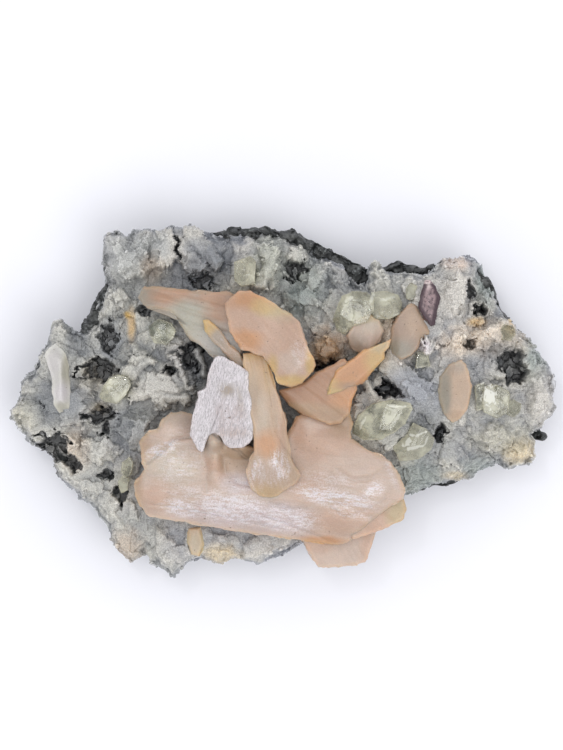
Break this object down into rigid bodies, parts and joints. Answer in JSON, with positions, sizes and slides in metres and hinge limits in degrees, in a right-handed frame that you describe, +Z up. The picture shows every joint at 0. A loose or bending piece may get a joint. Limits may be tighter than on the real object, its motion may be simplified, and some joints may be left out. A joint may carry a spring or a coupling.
{
  "type": "apophyllite cluster",
  "caption": "Loose mineral specimen: peach stilbite sheaf and blades with pale green apophyllite crystals in grey quartz druse on dark basalt.",
  "frame": {"origin": "on the flat base of the rock, under the middle of the specimen", "axes": "+Z up from the base to the crystals; +X to the right and +Y to the back edge, seen from above with the bare rock rim at the back"},
  "size_m": [0.1373, 0.0879, 0.0417],
  "materials": {
    "basalt": "matte",
    "druse": "satin",
    "stilbite": "satin",
    "apophyllite": "gloss",
    "white": "satin",
    "purple": "satin"
  },
  "bodies": {
    "root": {"basalt_matrix": "basalt", "quartz_druse": "druse", "stilbite_sheaf": "stilbite", "stilbite_back_blade": "stilbite", "stilbite_right_blade": "stilbite", "stilbite_small_blade": "stilbite", "white_blade": "white", "purple_crystal": "purple", "apophyllite_back": "apophyllite", "apophyllite_centre": "apophyllite", "apophyllite_front": "apophyllite", "apophyllite_clear": "apophyllite", "apophyllite_right": "apophyllite", "apophyllite_left": "apophyllite", "apophyllite_left_disc": "apophyllite", "apophyllite_front_left": "apophyllite", "apophyllite_top_small": "apophyllite", "apophyllite_right_small": "apophyllite", "apophyllite_middle_small": "apophyllite"}
  },
  "joints": []
}
